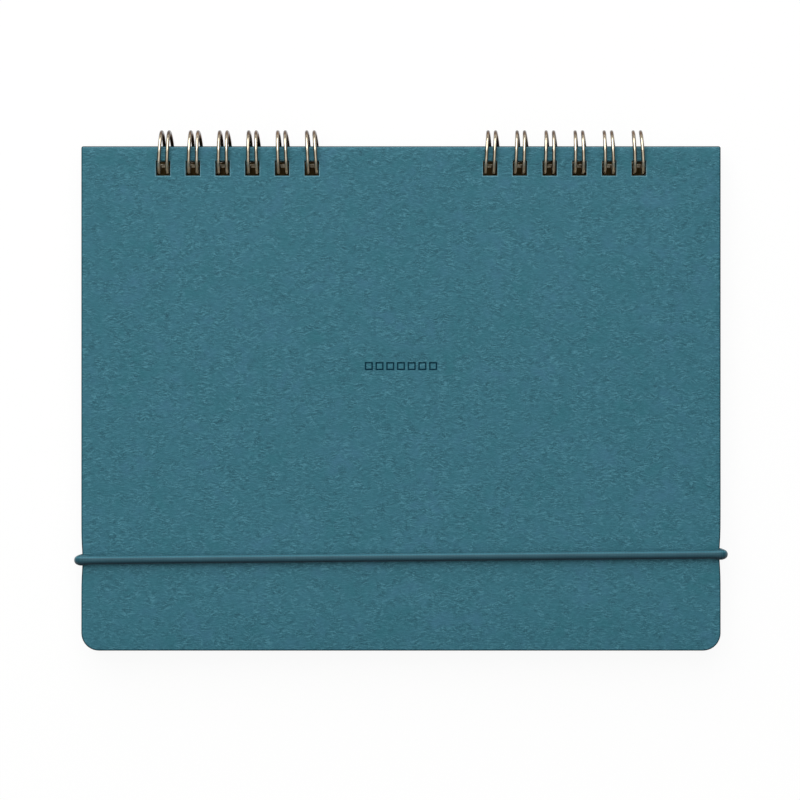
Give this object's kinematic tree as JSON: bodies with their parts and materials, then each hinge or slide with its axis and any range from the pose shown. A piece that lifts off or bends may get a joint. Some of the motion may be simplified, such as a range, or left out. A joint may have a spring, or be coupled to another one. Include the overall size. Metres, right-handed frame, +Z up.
{
  "type": "desk calendar",
  "caption": "Small closed desk calendar: two leatherette boards over a block of month pages, twin-loop wire binding along the top and a round elastic cord that holds it shut.",
  "frame": {"origin": "under the middle of the closed calendar, on the table it lies on", "axes": "+X along the binding edge, +Y from the foot towards the binding, +Z up out of the front cover"},
  "size_m": [0.1862, 0.1484, 0.0125],
  "materials": {
    "leatherette": "fine soft grain, matt",
    "page_paper": "uncoated, off-white",
    "antique_brass_wire": "antique brass plated wire, glossy",
    "elastic_cord": "round elastic with a fine woven covering"
  },
  "bodies": {
    "base": {"back_cover": "leatherette", "month_pages": "page_paper", "wire_left": "antique_brass_wire", "wire_right": "antique_brass_wire", "elastic_band": "elastic_cord"},
    "cover": {"front_cover": "leatherette"}
  },
  "joints": [
    {"name": "cover_turn", "type": "hinge", "parent": "base", "child": "cover", "pos_m": [0, 0.06795, 0.00625], "axis": [-1, 0, 0], "range_deg": [0, 120], "deforming": ["elastic_band"]}
  ]
}
